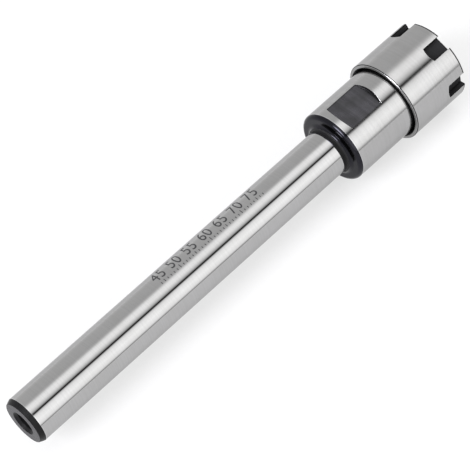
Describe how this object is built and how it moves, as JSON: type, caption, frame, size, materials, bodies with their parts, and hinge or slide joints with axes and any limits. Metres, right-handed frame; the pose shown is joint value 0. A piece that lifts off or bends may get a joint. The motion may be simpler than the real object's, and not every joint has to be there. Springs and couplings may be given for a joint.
{
  "type": "collet chuck extension",
  "caption": "Straight-shank extension holder that grips a round tool in a slotted spring collet, closed by a screwed clamping nut, with wrench flats and a depth stop screw.",
  "frame": {"origin": "on the chuck's axis, in the plane of the shoulder where the shank meets the head", "axes": "+X along the chuck's axis towards the nut and the collet, +Z square to one wrench flat"},
  "size_m": [0.1362, 0.022, 0.022],
  "materials": {
    "ground_steel": "hardened and ground bright steel, black oxide on the collar, the flats and the chamfers",
    "nut_steel": "ground bright steel, black oxide in the slots and on the inside",
    "spring_steel": "ground and lightly polished spring steel",
    "black_steel": "black oxide steel"
  },
  "bodies": {
    "chuck_body": {"chuck_body": "ground_steel"},
    "collet": {"collet": "spring_steel"},
    "clamping_nut": {"clamping_nut": "nut_steel"},
    "stop_screw": {"stop_screw": "black_steel"}
  },
  "joints": [
    {"name": "collet_feed", "type": "slide", "parent": "chuck_body", "child": "collet", "axis": [1, 0, 0], "range_m": [0, 0.008]},
    {"name": "nut_turn", "type": "hinge", "parent": "collet", "child": "clamping_nut", "pos_m": [0.027, 0, 0], "axis": [1, 0, 0], "range_deg": [0, 2880]},
    {"name": "screw_travel", "type": "slide", "parent": "chuck_body", "child": "stop_screw", "axis": [1, 0, 0], "range_m": [-0.02, 0.006]}
  ],
  "couplings": [
    {"joint": "collet_feed", "follows": "nut_turn", "m_per_rad": 0.00015915}
  ]
}
